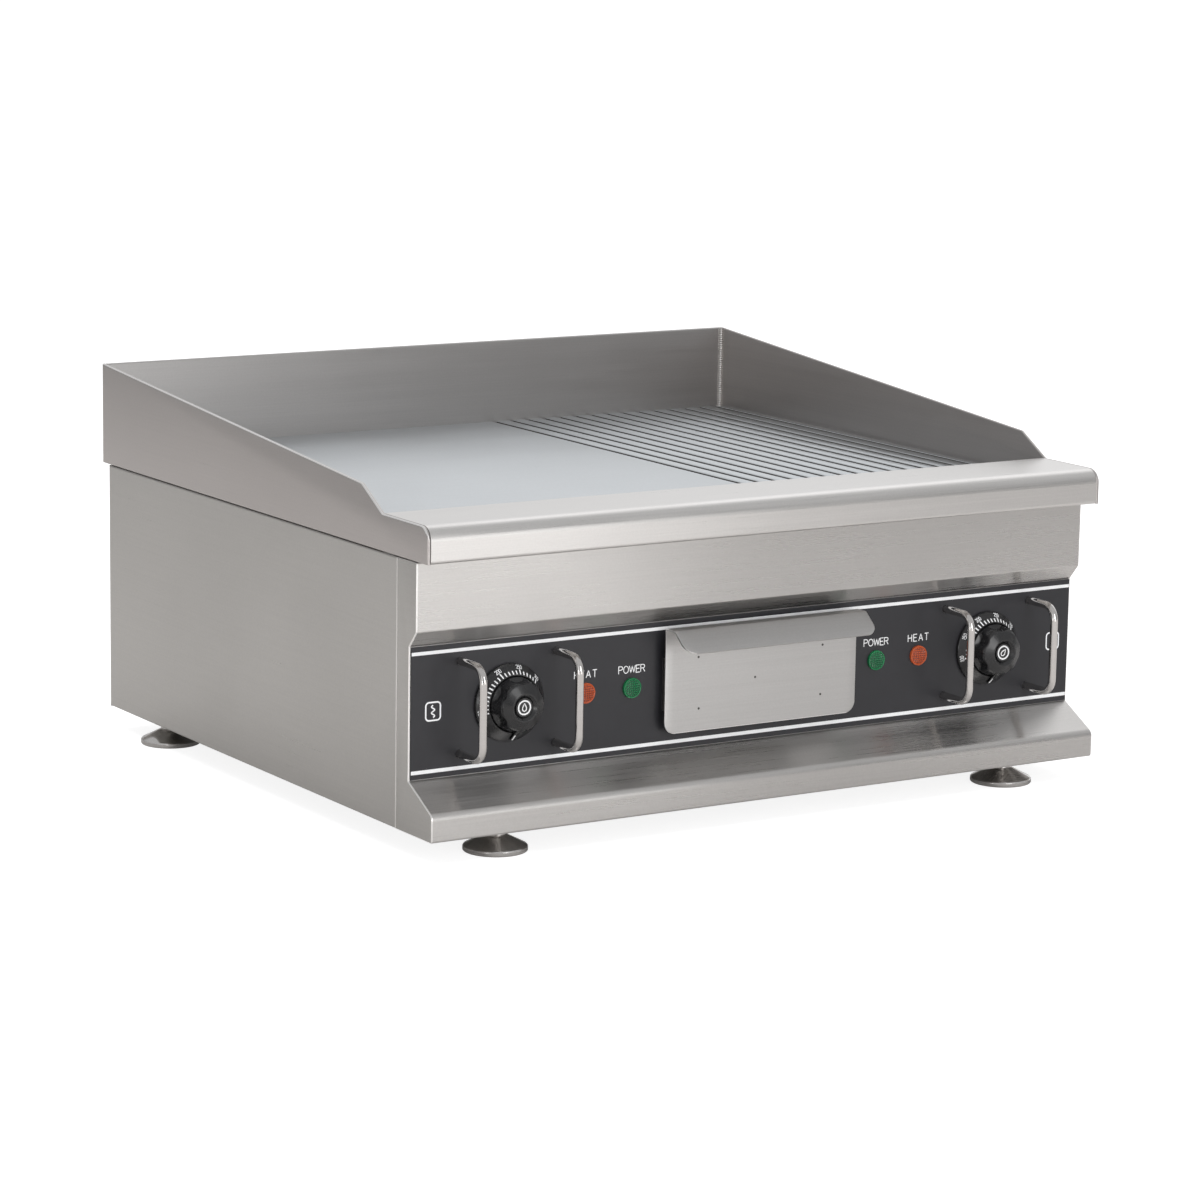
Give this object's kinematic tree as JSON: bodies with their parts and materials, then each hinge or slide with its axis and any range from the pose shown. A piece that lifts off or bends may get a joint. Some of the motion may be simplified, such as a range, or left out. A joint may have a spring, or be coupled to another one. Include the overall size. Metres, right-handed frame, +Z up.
{
  "type": "flat top griddle",
  "caption": "Countertop electric griddle with a half smooth, half ribbed plate, splash guard, dial controls with rod guards, grease drawer and bell feet.",
  "frame": {"origin": "on the surface the griddle stands on, at the centre of the bounding box in plan", "axes": "+Z up, -Y towards the operator, +X to the operator's right"},
  "size_m": [0.6076, 0.55, 0.298],
  "materials": {
    "splash_steel": "brushed stainless sheet, hemmed and welded",
    "shelf_steel": "brushed stainless sheet, satin",
    "plate_steel": "ground steel cooking surface",
    "trough_steel": "stainless sheet, plain",
    "body_steel": "brushed stainless sheet, satin",
    "front_steel": "brushed stainless sheet, satin",
    "drawer_steel": "brushed stainless sheet with spot weld marks",
    "tray_steel": "plain stainless sheet",
    "guard_steel": "polished stainless rod",
    "foot_steel": "turned and polished stainless",
    "fastener_steel": "plated steel",
    "panel_black": "satin printed film with pale lines",
    "bezel_black": "black moulding, satin",
    "knob_black": "black phenolic moulding, satin",
    "cap_black": "black inlay with a pale ring",
    "lens_orange": "translucent moulded lens",
    "lens_green": "translucent moulded lens",
    "lamp_body": "black nylon",
    "spindle_steel": "turned steel",
    "thermostat_body": "moulded switch housing",
    "capillary_copper": "copper capillary and bulb",
    "element_steel": "heat-darkened sheath",
    "insulation": "ceramic fibre board",
    "gasket": "heat-resistant seal",
    "gland_plastic": "nylon",
    "terminal_ceramic": "unglazed steatite",
    "wire_sleeve": "glass-fibre sleeving",
    "bond_brass": "brass stud and nuts"
  },
  "bodies": {
    "housing": {"splash_back": "splash_steel", "splash_side_left": "splash_steel", "splash_side_right": "splash_steel", "front_shelf": "shelf_steel", "griddle_plate": "plate_steel", "grease_trough": "trough_steel", "drain_spout": "trough_steel", "body_side_left": "body_steel", "body_side_right": "body_steel", "body_back": "body_steel", "base_plate": "body_steel", "front_fascia": "front_steel", "front_cheek_left": "front_steel", "front_cheek_right": "front_steel", "drawer_runner_left": "tray_steel", "drawer_runner_right": "tray_steel", "runner_support": "tray_steel", "heat_shield": "tray_steel", "knob_guard_1": "guard_steel", "knob_guard_2": "guard_steel", "knob_guard_3": "guard_steel", "knob_guard_4": "guard_steel", "case_screws": "fastener_steel", "guard_nuts": "fastener_steel", "clamp_studs": "fastener_steel", "element_clamps": "fastener_steel", "foot_bushes": "fastener_steel", "control_panel": "panel_black", "dial_bezel_left": "bezel_black", "dial_bezel_right": "bezel_black", "lamp_heat_left": "lens_orange", "lamp_heat_right": "lens_orange", "lamp_power_left": "lens_green", "lamp_power_right": "lens_green", "lamp_bodies": "lamp_body", "thermostat_left": "thermostat_body", "thermostat_right": "thermostat_body", "capillary_left": "capillary_copper", "capillary_right": "capillary_copper", "element_left": "element_steel", "element_right": "element_steel", "insulation_board": "insulation", "plate_gasket": "gasket", "cable_gland": "gland_plastic", "gland_locknut": "gland_plastic", "terminal_block": "terminal_ceramic", "wiring_loom": "wire_sleeve", "bonding_stud": "bond_brass"},
    "knob_left_body": {"knob_left": "knob_black", "knob_cap_left": "cap_black", "knob_spindle_left": "spindle_steel"},
    "knob_right_body": {"knob_right": "knob_black", "knob_cap_right": "cap_black", "knob_spindle_right": "spindle_steel"},
    "drawer": {"drawer_front": "drawer_steel", "drawer_box": "tray_steel"},
    "foot_front_left_body": {"foot_front_left": "foot_steel"},
    "foot_front_right_body": {"foot_front_right": "foot_steel"},
    "foot_rear_left_body": {"foot_rear_left": "foot_steel"},
    "foot_rear_right_body": {"foot_rear_right": "foot_steel"}
  },
  "joints": [
    {"name": "knob_left_turn", "type": "hinge", "parent": "housing", "child": "knob_left_body", "pos_m": [-0.2158, -0.256, 0.1065], "axis": [0, 1, 0], "range_deg": [0, 230]},
    {"name": "knob_right_turn", "type": "hinge", "parent": "housing", "child": "knob_right_body", "pos_m": [0.2158, -0.256, 0.1065], "axis": [0, 1, 0], "range_deg": [0, 230]},
    {"name": "drawer_slide", "type": "slide", "parent": "housing", "child": "drawer", "axis": [0, -1, 0], "range_m": [0, 0.24]},
    {"name": "foot_front_left_height", "type": "slide", "parent": "housing", "child": "foot_front_left_body", "axis": [0, 0, -1], "range_m": [0, 0.01]},
    {"name": "foot_front_right_height", "type": "slide", "parent": "housing", "child": "foot_front_right_body", "axis": [0, 0, -1], "range_m": [0, 0.01]},
    {"name": "foot_rear_left_height", "type": "slide", "parent": "housing", "child": "foot_rear_left_body", "axis": [0, 0, -1], "range_m": [0, 0.01]},
    {"name": "foot_rear_right_height", "type": "slide", "parent": "housing", "child": "foot_rear_right_body", "axis": [0, 0, -1], "range_m": [0, 0.01]}
  ]
}
